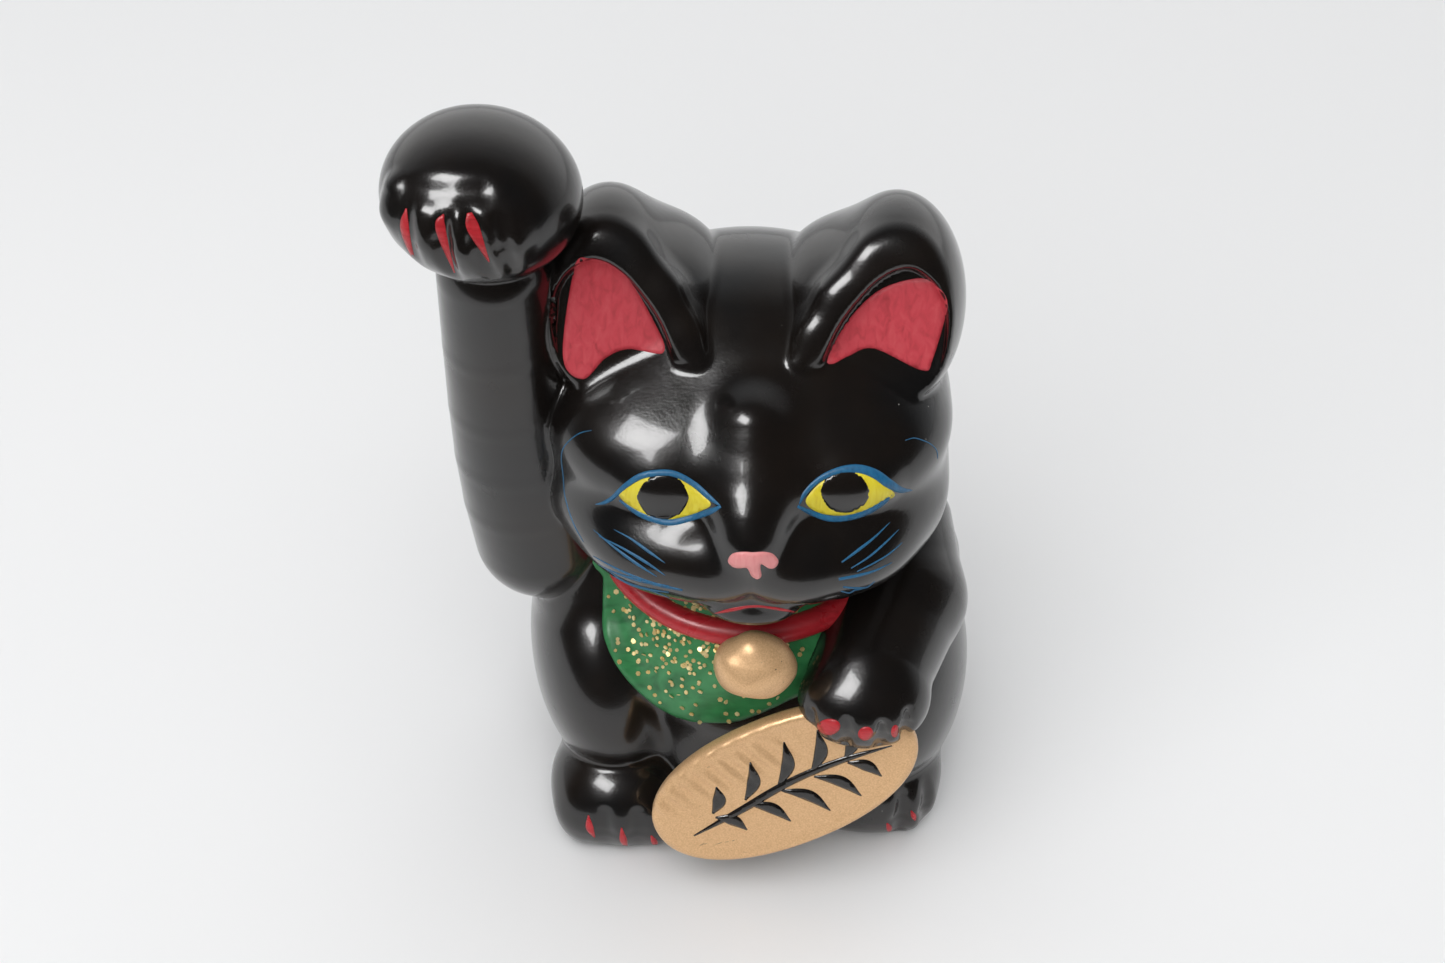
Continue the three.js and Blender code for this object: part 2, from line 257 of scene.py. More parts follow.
RAISED_TOES = [
    (-69.6, -15.6, 168, 4.3), (-64, -20.0, 167.3, 4.7), (-56, -21.8, 167, 5.2), (-48, -20.6, 166.5, 4.8),
]
TOE_GROOVES = [
    [(-67.8, -23.2, 173, 0.5), (-68.3, -25.9, 168, 1.5), (-67.0, -24.4, 158, 0.5)],
    [(-60.2, -25.8, 173.5, 0.5), (-60.6, -27.8, 168, 1.5), (-58.8, -26.4, 157, 0.5)],
    [(-54.8, -26.0, 174, 0.5), (-53.6, -28.6, 169, 1.6), (-51.0, -27.6, 159, 0.5)],
    [(-49.0, -26.0, 172.5, 0.4), (-48.0, -27.8, 167, 1.2), (-46.6, -26.4, 160, 0.4)],
]
RAISED_ARM = [
    (-46.8, -8, 69.5, 15.7), (-48.8, -8, 83, 15.5), (-50.3, -8, 96, 15.0), (-51.4, -8, 110, 14.3),
    (-52.4, -8, 127, 13.4), (-53.4, -8, 145, 12.4),
]


def raised_arm(p):
    arm = chain(p, RAISED_ARM, 0.2)
    paw = ellipsoid(p, (-55, -8, 165.5), (20.8, 20.5, 16.5), turn("y", 8))
    for x, y, z, r in RAISED_TOES:
        toe = chain(p, [(x, y, z + 4, r - 0.6), (x, y - 1.2, z, r), (x + 0.6, y + 1.0, z - 7, r - 0.8)], 2)
        paw = join(paw, toe, 1.6)
    for groove in TOE_GROOVES:
        paw = carve(paw, chain(p, groove, 1), 2.6)
    crease = chain(p, [(-68, -22.0, 177.0, 1.6), (-61, -24.5, 178.2, 1.8), (-53, -23.5, 178.0, 1.4)], 2)
    return join(arm, carve(paw, crease, 4), 1.5)


LOWERED_ARM = [(30, -2, 66, 17), (34.5, -17, 60, 15.4), (28.5, -37, 55.5, 13.4)]
LOWERED_PAW_CREASES = [(15.8, -49.8, 51.9), (23.2, -53.8, 53.6), (30.9, -53.2, 52.8), (36.2, -50.2, 53.6)]


def lowered_arm(p):
    arm = chain(p, LOWERED_ARM, 1.5)
    arm = join(arm, ellipsoid(p, (27, -43, 54), (14.6, 11.2, 10.6)), 3)
    for x, y, z in LOWERED_PAW_CREASES:
        crease = [(x, y + 0.6, z + 4, 0.3), (x, y - 0.6, z, 1.4), (x, y + 2, z - 5, 0.6)]
        arm = carve(arm, chain(p, crease, 1), 2.4)
    return arm


TAIL = [(8, 44, 11, 8.5), (17, 43, 10.5, 8.4), (26, 40, 12, 8), (31, 36.5, 18.5, 7.3), (34, 32, 28, 6.5)]


def tail(p):
    return chain(p, TAIL, 3)


# Each casting, the fillet where it is luted on, and the ones that it touches.
CASTINGS = {
    "body": (body, 0, ("head", "raised_arm", "lowered_arm", "right_hind_paw", "left_hind_paw", "tail")),
    "head": (head, 2.2, ("body", "raised_arm", "lowered_arm")),
    "raised_arm": (raised_arm, 1.6, ("body", "head")),
    "lowered_arm": (lowered_arm, 2.2, ("body", "head")),
    "right_hind_paw": (right_hind_paw, 2.0, ("body",)),
    "left_hind_paw": (left_hind_paw, 2.0, ("body",)),
    "tail": (tail, 2.5, ("body",)),
}


def whole(p, among=tuple(CASTINGS)):
    """The castings as one glazed surface."""
    shape = None
    for name, (field, fillet, _) in CASTINGS.items():
        if name in among:
            shape = field(p) if shape is None else join(shape, field(p), fillet)
    return shape


# ---------------------------------------------------------------- meshing

CORNERS = np.array([(i, j, k) for i in (0, 1) for j in (0, 1) for k in (0, 1)])
EDGES = [(a, b) for a in range(8) for b in range(8) if a < b and np.abs(CORNERS[a] - CORNERS[b]).sum() == 1]
KEYS = np.array((1 << 24, 1 << 12, 1))  # a grid place as one number


def near_cells(field, low, high, step):
    """The grid cells of one size that the surface may pass through, found from coarse to fine."""
    size = step * 8
    counts = np.ceil((high - low) / size).astype(int)
    cells = np.indices(counts).reshape(3, -1).T
    while True:
        middle = (low + (cells + 0.5) * size).astype(np.float32)
        cells = cells[np.abs(field(middle)) < size * 1.3]
        if size < step * 1.01:
            return cells
        cells = (cells[:, None] * 2 + CORNERS).reshape(-1, 3)
        size /= 2


def surface_net(outer, cut, low, high, step):
    """A mesh of where max(outer, cut) is zero, with a crisp edge between the two.

    Returns the points, the quads, the outer surface's normals, and which quads lie on it.
    """
    low, high, step = np.array(low, float), np.array(high, float), step * COARSER

    def both(p):
        return np.maximum(outer(p), cut(p))

    cells = near_cells(both, low, high, step)
    corners = (cells[:, None] + CORNERS).reshape(-1, 3) + 1
    keys, place = np.unique(corners @ KEYS, return_inverse=True)
    at = np.stack([keys // KEYS[0], keys // KEYS[1] % 4096, keys % 4096], -1) - 1
    at = (low + at * step).astype(np.float32)
    skin, lid = outer(at), cut(at)
    value = np.maximum(skin, lid)[place].reshape(-1, 8)
    inside = value < 0
    live = inside.any(1) & ~inside.all(1)
    cells, value, inside = cells[live], value[live], inside[live]
    skin, lid = skin[place].reshape(-1, 8)[live], lid[place].reshape(-1, 8)[live]
    total, count = np.zeros((len(cells), 3)), np.zeros((len(cells), 1))
    for a, b in EDGES:
        crossing = inside[:, a] != inside[:, b]
        share = np.where(crossing, value[:, a] / np.where(crossing, value[:, a] - value[:, b], 1), 0)
        where = CORNERS[a] + share[:, None] * (CORNERS[b] - CORNERS[a])
        total += where * crossing[:, None]
        count += crossing[:, None]
    points = (low + (cells + total / count) * step).astype(np.float32)
    start = points.copy()
    for _ in range(3):
        grade = slope(both, points)
        points -= both(points)[:, None] * grade / np.maximum((grade**2).sum(1, keepdims=True), 0.05)
    edge = ((skin < 0).any(1) & (skin > 0).any(1) & (lid < 0).any(1) & (lid > 0).any(1)).nonzero()[0]
    sharp = start[edge]
    for _ in range(5):
        f, g = outer(sharp), cut(sharp)
        a, b = slope(outer, sharp), slope(cut, sharp)
        aa, bb, ab = (a * a).sum(1) + 1e-4, (b * b).sum(1) + 1e-4, (a * b).sum(1)
        det = np.maximum(aa * bb - ab * ab, 0.02)
        sharp -= ((f * bb - g * ab) / det)[:, None] * a + ((g * aa - f * ab) / det)[:, None] * b
    good = (np.linalg.norm(sharp - start[edge], axis=1) < step * 0.9) & (np.abs(both(sharp)) < 0.02)
    points[edge[good]] = sharp[good]
    astray = ~(np.linalg.norm(points - start, axis=1) < step * 1.5)
    points[astray] = start[astray]
    quads = linked_quads(cells, inside)
    middle = points[quads].mean(1)
    on_outer = outer(middle) > cut(middle)
    return points, quads, unit(slope(outer, points)), on_outer


def linked_quads(cells, inside):
    """One quad round each grid edge that the surface crosses, facing outwards."""
    key = (cells + 1) @ KEYS
    order = np.argsort(key)
    ordered = key[order]
    quads = []
    for axis in range(3):
        step_u, step_v = KEYS[(axis + 1) % 3], KEYS[(axis + 2) % 3]
        far = 4 >> axis
        crossed = (inside[:, 0] != inside[:, far]).nonzero()[0]
        ring = key[crossed, None] - np.array((0, step_u, step_u + step_v, step_v))
        found = np.minimum(np.searchsorted(ordered, ring), len(ordered) - 1)
        complete = (ordered[found] == ring).all(1)
        quad = order[found[complete]]
        flip = ~inside[crossed[complete], 0]
        quad[flip] = quad[flip][:, ::-1]
        quads.append(quad)
    return np.concatenate(quads)


def add_piece(name, points, faces, material, nodes=(), body="figure"):
    """One visible piece, from points in millimetres in the modelling frame."""
    mesh = bpy.data.meshes.new(name)
    places = np.asarray(points, float) * MM + FOOT
    mesh.from_pydata(places.tolist(), [], [tuple(map(int, f)) for f in faces])
    mesh.materials.append(material)
    mesh.shade_smooth()
    piece = bpy.data.objects.new(name, mesh)
    bpy.context.scene.collection.objects.link(piece)
    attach(piece, body)
    if nodes:
        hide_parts(*nodes)
    return piece


def add_solid(name, outer, cut, low, high, step, material, nodes=()):
    """A meshed field. Its outer surface is shaded with the field's own normals."""
    points, quads, normals, on_outer = surface_net(outer, cut, low, high, step)
    piece = add_piece(name, points, quads, material, nodes)
    corners = np.zeros((len(quads), 4, 3), np.float32)
    corners[on_outer] = normals[quads[on_outer]]
    cross = np.cross(points[quads[:, 2]] - points[quads[:, 0]], points[quads[:, 3]] - points[quads[:, 1]])
    corners[~on_outer] = unit(cross)[~on_outer, None]
    piece.data.normals_split_custom_set(corners.reshape(-1, 3).tolist())
    return piece


WALL = 4
FLOOR = 6  # the height at which the body's hollow starts
GAP = 0.02  # between the cut faces of two castings, and their own field
HOLE_RADIUS, HOLE_TOP = 15, 9
RIM_RADIUS, RIM_TOP = 19, 2.4  # the wide shallow step that the stopper's flange sits in


def base_hole(p):
    q = p - vec(0, HOLE_Y, 0)
    out = np.hypot(q[..., 0], q[..., 1])
    hole = np.maximum(out - HOLE_RADIUS, q[..., 2] - HOLE_TOP)
    return np.minimum(hole, np.maximum(out - RIM_RADIUS, q[..., 2] - RIM_TOP))


def body_hollow(p):
    return np.maximum(body(p) + WALL, FLOOR - p[..., 2])


def neck(p):
    q = p - vec(0, 2, 0)
    return np.maximum(np.hypot(q[..., 0], q[..., 1]) - 19, np.abs(p[..., 2] - 72) - 22)


def coin_slot(p):
    q = p - vec(0, 0, 104)
    across = np.hypot(np.maximum(np.abs(q[..., 0]) - 13.5, 0), q[..., 2]) - 2.5
    return np.maximum(across, 5 - q[..., 1])


def casting(name, low, high, step, node, hollows=(), rounded=()):
    """One casting, parted from its neighbours half way between them."""
    field, _, neighbours = CASTINGS[name]

    def outer(p):
        shape = whole(p, (name, *neighbours))
        for hole, k in rounded:
            shape = carve(shape, hole(p), k)
        return shape

    def cut(p):
        other = CASTINGS[neighbours[0]][0](p)
        for neighbour in neighbours[1:]:
            other = np.minimum(other, CASTINGS[neighbour][0](p))
        shape = np.maximum((field(p) - other) / 2 + GAP, -p[..., 2])
        for hollow in hollows:
            shape = np.maximum(shape, -hollow(p))
        return shape

    return add_solid(node, outer, cut, low, high, step, GLAZE, (node,))


# ---------------------------------------------------------------- materials


def material(name, **values):
    made = bpy.data.materials.new(name)
    made.use_nodes = True
    shader = made.node_tree.nodes["Principled BSDF"]
    for socket, value in values.items():
        shader.inputs[socket.replace("_", " ")].default_value = value
    return made, made.node_tree, shader


def add_node(tree, kind, sockets=(), **settings):
    node = tree.nodes.new(kind)
    for setting, value in settings.items():
        setattr(node, setting, value)
    for socket, value in dict(sockets).items():
        if isinstance(value, bpy.types.NodeSocket):
            tree.links.new(value, node.inputs[socket])
        else:
            node.inputs[socket].default_value = value
    return node


def place(tree, size, stretch=(1, 1, 1), rotation=(0, 0, 0)):
    """Object coordinates, counted in steps of size millimetres."""
    where = add_node(tree, "ShaderNodeTexCoord").outputs["Object"]
    scale = [1 / (size * MM * s) for s in stretch]
    turned = add_node(tree, "ShaderNodeMapping", {"Vector": where, "Rotation": rotation})
    return add_node(tree, "ShaderNodeMapping", {"Vector": turned.outputs[0], "Scale": scale}).outputs[0]


def noise(tree, size, detail=2.0, distortion=0.0, **laid):
    sockets = {"Vector": place(tree, size, **laid), "Scale": 1.0, "Detail": detail, "Distortion": distortion}
    return add_node(tree, "ShaderNodeTexNoise", sockets).outputs["Fac"]


def ramp(tree, value, *stops):
    node = add_node(tree, "ShaderNodeValToRGB", {"Fac": value})
    elements = node.color_ramp.elements
    while len(elements) < len(stops):
        elements.new(0.5)
    for element, (position, shade) in zip(elements, stops):
        element.position = position
        element.color = (*shade, 1) if isinstance(shade, tuple) else (shade, shade, shade, 1)
    return node.outputs["Color"]


def mix(tree, factor, a, b, blend="MIX"):
    node = tree.nodes.new("ShaderNodeMix")
    node.data_type = "RGBA"
    node.blend_type = blend
    for socket, value in ((0, factor), (6, a), (7, b)):
        if isinstance(value, bpy.types.NodeSocket):
            tree.links.new(value, node.inputs[socket])
        else:
            node.inputs[socket].default_value = (*value, 1) if isinstance(value, tuple) else value
    return node.outputs[2]


def bump(tree, shader, *layers):
    """Bump layers of (height, depth in millimetres)."""
    normal = None
    for height, depth in layers:
        sockets = {"Height": height, "Distance": depth * MM, "Strength": 1.0}
        if normal is not None:
            sockets["Normal"] = normal
        normal = add_node(tree, "ShaderNodeBump", sockets).outputs["Normal"]
    tree.links.new(normal, shader.inputs["Normal"])


def feed(tree, shader, **sources):
    for socket, source in sources.items():
        tree.links.new(source, shader.inputs[socket.replace("_", " ")])


def black_glaze(name, deep=1.0):
    made, tree, shader = material(name, IOR=1.5, Coat_Weight=0.5, Coat_Roughness=0.07)
    cloud = noise(tree, 22, 3.0)
    shade = ramp(tree, cloud, (0.3, (0.0042, 0.0042, 0.0045)), (0.75, (0.011, 0.0075, 0.0055)))
    speck = add_node(tree, "ShaderNodeTexVoronoi", {"Vector": place(tree, 3.2), "Scale": 1.0})
    dust = ramp(tree, speck.outputs["Distance"], (0.03, 1.0), (0.055, 0.0))
    few = ramp(tree, speck.outputs["Color"], (0.78, 0.0), (0.8, 1.0))
    dusty = mix(tree, 1.0, dust, few, "MULTIPLY")
    rough = ramp(tree, noise(tree, 9, 4.0), (0.3, 0.21), (0.7, 0.28))
    feed(tree, shader, Base_Color=mix(tree, dusty, shade, (0.3, 0.29, 0.27)), Roughness=rough)
    bump(tree, shader, (noise(tree, 7, 2.0), 0.10), (noise(tree, 0.55, 2.0), 0.028))
    return made


def brushed(name, shades, rough, size=0.7, stretch=(1, 1, 6), rotation=(0, 0, 0), depth=0.05):
    """Opaque paint laid on with a brush: streaks of three shades, and fine ridges along them."""
    made, tree, shader = material(name, IOR=1.48)
    streak = noise(tree, size, 3.0, 0.6, stretch=stretch, rotation=rotation)
    patch = noise(tree, 6, 3.0, 1.0)
    colour = ramp(tree, streak, (0.25, shades[0]), (0.5, shades[1]), (0.8, shades[2]))
    feed(tree, shader, Base_Color=mix(tree, ramp(tree, patch, (0.35, 0.0), (0.75, 0.6)), colour, shades[1]))
    feed(tree, shader, Roughness=ramp(tree, patch, (0.3, rough), (0.7, min(rough + 0.15, 1))))
    bump(tree, shader, (streak, depth))
    return made


def gold_paint(name):
    made, tree, shader = material(name, Metallic=0.35, IOR=1.5)
    flake = noise(tree, 0.35, 2.0)
    broad = noise(tree, 9, 3.0, 0.4)
    colour = ramp(tree, flake, (0.25, (0.66, 0.39, 0.19)), (0.75, (0.86, 0.56, 0.30)))
    streak = noise(tree, 0.6, 4.0, 0.5, stretch=(7, 1, 1), rotation=(0, 0.5, 0))
    scraped = ramp(tree, streak, (0.66, 0.0), (0.72, 1.0))
    rubbed = ramp(tree, broad, (0.56, 0.0), (0.66, 1.0))
    worn = mix(tree, 1.0, scraped, rubbed, "MULTIPLY")
    feed(tree, shader, Base_Color=mix(tree, worn, colour, (0.012, 0.010, 0.009)))
    feed(tree, shader, Roughness=ramp(tree, broad, (0.3, 0.33), (0.7, 0.45)))
    bump(tree, shader, (broad, 0.25), (flake, 0.02))
    return made


def glitter(name):
    made, tree, shader = material(name, Metallic=0.45, Roughness=0.3)
    colour = ramp(tree, noise(tree, 1.5, 1.0), (0.3, (0.72, 0.50, 0.17)), (0.7, (0.95, 0.80, 0.42)))
    feed(tree, shader, Base_Color=colour)
    bump(tree, shader, (noise(tree, 0.3, 1.0), 0.01))
    return made


def rubber(name):
    made, tree, shader = material(name, Roughness=0.7)
    mould = noise(tree, 3, 3.0)
    grain = noise(tree, 0.25, 3.0)
    colour = ramp(tree, mould, (0.3, (0.66, 0.61, 0.50)), (0.7, (0.78, 0.73, 0.62)))
    feed(tree, shader, Base_Color=colour, Roughness=ramp(tree, grain, (0.3, 0.62), (0.7, 0.78)))
    bump(tree, shader, (grain, 0.02))
    return made


GLAZE = black_glaze("black_glaze")
INK = black_glaze("black_paint")
EAR_RED = brushed(
    "ear_red", ((0.40, 0.025, 0.035), (0.60, 0.045, 0.065), (0.66, 0.085, 0.10)),
    0.5, 1.6, (1, 1, 5), depth=0.03)
RED = brushed(
    "red_paint", ((0.36, 0.012, 0.018), (0.52, 0.022, 0.032), (0.60, 0.045, 0.055)),
    0.25, 1.0, (5, 1, 1), depth=0.02)
GREEN = brushed(
    "green_paint", ((0.018, 0.11, 0.036), (0.040, 0.235, 0.078), (0.07, 0.32, 0.12)),
    0.28, 1.8, (6, 1, 3), depth=0.04)
YELLOW = brushed(
    "yellow_paint", ((0.70, 0.52, 0.015), (0.82, 0.68, 0.03), (0.86, 0.76, 0.08)),
    0.35, 0.8, depth=0.02)
BLUE = brushed(
    "blue_paint", ((0.008, 0.075, 0.17), (0.012, 0.13, 0.28), (0.02, 0.18, 0.36)),
    0.35, 0.6, depth=0.02)
PINK = brushed(
    "pink_paint", ((0.82, 0.27, 0.27), (0.88, 0.33, 0.33), (0.9, 0.40, 0.38)),
    0.35, 0.8, depth=0.02)
GOLD = gold_paint("gold_paint")
GLITTER = glitter("gold_glitter")
RUBBER = rubber("stopper_rubber")

# ---------------------------------------------------------------- castings, coin, bell and collar

casting("body", (-56, -42, -1), (56, 54, 92), 1.0, "body_casting", (body_hollow, base_hole, neck))
casting("head", (-50, -52, 60), (50, 50, 162), 0.85, "head_casting",
        (lambda p: head_dome(p) + WALL, neck), ((coin_slot, 1.0),))
casting("raised_arm", (-80, -34, 48), (-26, 20, 186), 0.85, "raised_arm_casting")
casting("lowered_arm", (8, -60, 36), (56, 20, 86), 0.8, "lowered_arm_casting")
casting("right_hind_paw", (-50, -52, -1), (-8, -8, 28), 0.8, "right_hind_paw")
casting("left_hind_paw", (10, -46, -1), (50, -4, 28), 0.8, "left_hind_paw")
casting("tail", (-6, 20, -1), (46, 56, 42), 1.0, "tail")

COIN_CENTRE = vec(9.8, -49.8, 32.9)
COIN_TURN = turn("x", -12) @ turn("y", -30)
COIN_LONG, COIN_HIGH, COIN_THICK = 32.6, 17.2, 2.4  # half of its length, height and thickness
COIN_POWER = 2.15  # 2 is an ellipse, and more is squarer
COLLAR_CENTRE, COLLAR_TILT, COLLAR_RADIUS, COLLAR_CORD = vec(0, -2, 71), 10.3, 33, 3.0


def nothing_cut(p):
    return np.full(p.shape[:-1], -9, np.float32)


def coin(p):
    """An oval plate with rounded rims, and soft flutes struck into its upper left."""
    q = (p - COIN_CENTRE) @ COIN_TURN
    along, across = q[..., 0], q[..., 2]
    e = np.abs(along / COIN_LONG) ** COIN_POWER + np.abs(across / COIN_HIGH) ** COIN_POWER
    e = e ** (1 / COIN_POWER)
    flute = np.cos((along + across * 0.25) * 1.35) * np.exp(-(((across - 9.5) / 5.5) ** 2))
    flute = flute * np.clip((across + 2) / 6, 0, 1) * np.clip((12 - along) / 10, 0, 1) * 0.55
    dish = 0.7 * np.clip((0.93 - e) / 0.12, 0, 1)
    thick = np.abs(q[..., 1]) - COIN_THICK
    front = np.where(q[..., 1] < 0, dish + flute, 0)
    return -join(-(e - 1) * 17, -(thick + front * 0.6), 2)


def bell(p):
    shape = ellipsoid(p, (2.8, -45, 66), (9.2, 7, 7.6))
    shape = join(shape, ellipsoid(p, (2.8, -44.5, 72), (3.5, 3, 2.5)), 3)
    return shape - 0.25 * np.sin(p[..., 0] * 0.5 + 1) * np.sin(p[..., 2] * 0.6)


def collar(p):
    q = (p - COLLAR_CENTRE) @ turn("x", COLLAR_TILT)
    ring = np.hypot(q[..., 0], q[..., 1]) - COLLAR_RADIUS
    return np.hypot(ring, q[..., 2]) - COLLAR_CORD


add_solid(
    "oval_coin", coin, nothing_cut, (-24, -68, 6), (46, -34, 58), 0.7, GOLD, ("oval_coin",))
add_solid("bell", bell, nothing_cut, (-8, -54, 56), (14, -36, 78), 0.5, GOLD, ("bell",))
add_solid(
    "collar_band", collar, nothing_cut, (-38, -40, 58), (38, 38, 84), 0.9, RED, ("collar_band",))

# ---------------------------------------------------------------- paint films

AZIMUTH, ELEVATION = math.radians(2.5), math.radians(44)
BACK = vec(
    math.sin(AZIMUTH) * math.cos(ELEVATION), -math.cos(AZIMUTH) * math.cos(ELEVATION), math.sin(ELEVATION))
RIGHT = vec(math.cos(AZIMUTH), math.sin(AZIMUTH), 0)
UPWARD = np.cross(BACK, RIGHT)
FACE = vec(0, -38, 104)


def land(field, start, direction):
    """Where rays meet the field's surface, and its normals there. A ray that misses gives no number."""
    reach = np.zeros(len(start), np.float32)
    for _ in range(60):
        reach = np.minimum(reach + field(start + reach[:, None] * direction) * 0.85, 400)
    found = start + reach[:, None] * direction
    found[np.abs(field(found)) > 0.3] = np.nan
    return found, unit(slope(field, found))


def seen(u, w):
    """Paint laid from a high three-quarter front: u to the right and w upwards from the nose's root."""
    start = FACE + u[:, None] * RIGHT + w[:, None] * UPWARD + 150 * BACK
    return land(whole, start.astype(np.float32), -BACK)


def in_ear(flip):
    def at(side, up):
        start = np.stack(np.broadcast_arrays(*on_ear(side, up, -9)), -1) * vec(flip, 1, 1)
        return land(lambda p: whole(p, ("head",)), start.astype(np.float32), vec(0, RISE, -LEAN))
    return at


def on_coin(u, w):
    start = COIN_CENTRE + np.stack([u, u * 0 - 12, w], -1) @ COIN_TURN.T
    return land(coin, start.astype(np.float32), vec(0, 1, 0) @ COIN_TURN.T)


def smooth(points, closed, pitch=0.5):
    """A Catmull-Rom curve through rows of numbers, the first two of which are the place."""
    points = np.array(points, float)
    if closed:
        points = np.concatenate([points[-1:], points, points[:2]])
    else:
        points = np.concatenate([2 * points[:1] - points[1:2], points, 2 * points[-1:] - points[-2:-1]])
    rows = []
    for a, b, c, d in zip(points, points[1:], points[2:], points[3:]):
        count = max(2, int(np.hypot(*(c - b)[:2]) / pitch))
        for t in np.arange(count) / count:
            rows.append(((2 * b) + (c - a) * t + (2 * a - 5 * b + 4 * c - d) * t**2
                         + (3 * b - a - 3 * c + d) * t**3) / 2)
    if not closed:
        rows.append(points[-2])
    return np.array(rows)


def ribbon(points, pitch=0.5):
    """The outline of a brush stroke through (u, w, width) points."""
    line = smooth(points, False, pitch)
    run = np.gradient(line[:, :2], axis=0)
    run = run / np.linalg.norm(run, axis=1, keepdims=True)
    side = np.stack([-run[:, 1], run[:, 0]], -1) * np.maximum(line[:, 2:], 0.04) / 2
    return np.concatenate([line[:, :2] + side, (line[:, :2] - side)[::-1]])


def inside_outline(points, outline):
    x, y = points[:, :1], points[:, 1:]
    x0, y0 = outline.T
    x1, y1 = np.roll(outline, -1, axis=0).T
    crossing = (y0 > y) != (y1 > y)
    meets = x0 + (y - y0) * (x1 - x0) / np.where(y1 == y0, 1, y1 - y0) > x
    return (crossing & meets).sum(1) % 2 == 1


def from_outline(points, outline):
    """The distance of each point from a closed outline."""
    a, b = outline, np.roll(outline, -1, axis=0)
    run = b - a
    t = ((points[:, None] - a) * run).sum(-1) / np.maximum((run * run).sum(-1), 1e-9)
    near = a + np.clip(t, 0, 1)[..., None] * run
    return np.linalg.norm(points[:, None] - near, axis=-1).min(1)


def filled(outline, pitch):
    """The flat inside of an outline, as points about a pitch apart and triangles."""
    low, high = outline.min(0), outline.max(0)
    lattice = [outline[:0]]
    for i, w in enumerate(np.arange(low[1], high[1], pitch * 0.87)):
        row = np.arange(low[0] + (i % 2) * pitch / 2, high[0], pitch)
        lattice.append(np.stack([row, np.full(len(row), w)], -1))
    lattice = np.concatenate(lattice)
    if len(lattice):
        lattice = lattice[inside_outline(lattice, outline) & (from_outline(lattice, outline) > pitch * 0.45)]
    flat = [Vector(p) for p in np.concatenate([outline, lattice])]
    flat, _, faces, *_ = delaunay_2d_cdt(flat, [], [list(range(len(outline)))], 1, 1e-5)
    return np.array([tuple(p) for p in flat]), faces


def rim_of(faces):
    """The edges that only one face has."""
    border = {}
    for f in faces:
        for a, b in zip(f, [*f[1:], f[0]]):
            border[(a, b)] = (b, a) not in border
            if not border[(a, b)]:
                border[(b, a)] = False
    return [pair for pair, single in border.items() if single]


PROUD = 0.05  # how far even the edge of a film stands off the surface
SUNK = 0.15  # how far its skirt goes down into it


def skin_of(outline, at, lift, edge, pitch):
    """A film inside one outline, with a rounded edge and a skirt down into the surface."""
    flat, faces = filled(outline, pitch)
    depth = from_outline(flat, outline)
    bead = np.sqrt(1 - (1 - np.clip(depth / edge, 0, 1)) ** 2)
    points, normals = at(flat[:, 0], flat[:, 1])
    top = points + normals * (PROUD + lift * bead)[:, None]
    faces = [f for f in faces if np.isfinite(top[f]).all()]
    outwards = [np.cross(top[f[1]] - top[f[0]], top[f[2]] - top[f[0]]) @ normals[f[0]] > 0 for f in faces]
    faces = [f if right else f[::-1] for f, right in zip(faces, outwards)]
    rim = rim_of(faces)
    skirt = {a: len(top) + i for i, a in enumerate(sorted({a for pair in rim for a in pair}))}
    sunk = np.array([points[a] - normals[a] * SUNK for a in skirt])
    faces = [list(f) for f in faces] + [[b, a, skirt[a], skirt[b]] for a, b in rim]
    used = np.unique([i for f in faces for i in f])
    number = {old: new for new, old in enumerate(used)}
    return np.concatenate([top, sunk])[used], [[number[i] for i in f] for f in faces]


def film(name, outlines, at, paint, lift=0.1, edge=0.5, pitch=0.8, nodes=()):
    """Paint of one colour inside one or more outlines."""
    points, faces = [], []
    for outline in outlines:
        more, linked = skin_of(outline, at, lift, edge, pitch)
        shift = sum(map(len, points))
        faces += [[i + shift for i in f] for f in linked]
        points.append(more)
    return add_piece(name, np.concatenate(points), faces, paint, nodes)


def oval(u, w, across, high, tilt=0.0, count=40):
    t = np.arange(count) / count * 2 * math.pi
    x, y, c, s = np.cos(t) * across, np.sin(t) * high, math.cos(tilt), math.sin(tilt)
    return np.stack([u + x * c - y * s, w + x * s + y * c], -1)


LEFT_LINING = [
    (33, -1), (36.7, -3.4), (39.2, -22.6), (35, -27.6), (30.2, -22.9), (25.6, -20.8), (18, -21.1),
    (19.7, -15.3), (26.4, -4.4),
]
RIGHT_LINING = [
    (37.3, -4.2), (41, -8.8), (38.6, -21), (36.4, -23.5), (26.2, -19.1), (21, -20.8), (17.5, -22.3),
    (16.6, -20.9), (20.8, -12.9), (26.4, -6.9), (32.7, -4.2),
]
film("ear_lining_right", [smooth(LEFT_LINING, True)], in_ear(-1), EAR_RED)
film("ear_lining_left", [smooth(RIGHT_LINING, True)], in_ear(1), EAR_RED)

EYE_RIGHT = [
    (-26.3, 5.2), (-23.9, 7.1), (-21.2, 8.6), (-18.2, 9.2), (-14.5, 9.0), (-10.7, 6.9), (-7.0, 3.5),
    (-9.3, 1.8), (-12.7, 0.6), (-16.3, -0.1), (-19.9, 0.5), (-22.9, 2.0),
]
EYE_LEFT = [
    (12.8, 3.8), (14.4, 6.5), (17.0, 8.6), (20.5, 9.8), (24.1, 9.8), (27.5, 8.4), (31.7, 5.4), (29.1, 3.7),
    (25.9, 2.0), (22.2, 1.0), (18.2, 1.0), (15.0, 1.8)]
film("eye_yellow", [smooth(EYE_RIGHT, True), smooth(EYE_LEFT, True)], seen, YELLOW, 0.06)
film("eye_pupils", [oval(-17, 4.75, 5.6, 4.8), oval(21, 5.8, 5.3, 4.5)], seen, INK, 0.14)
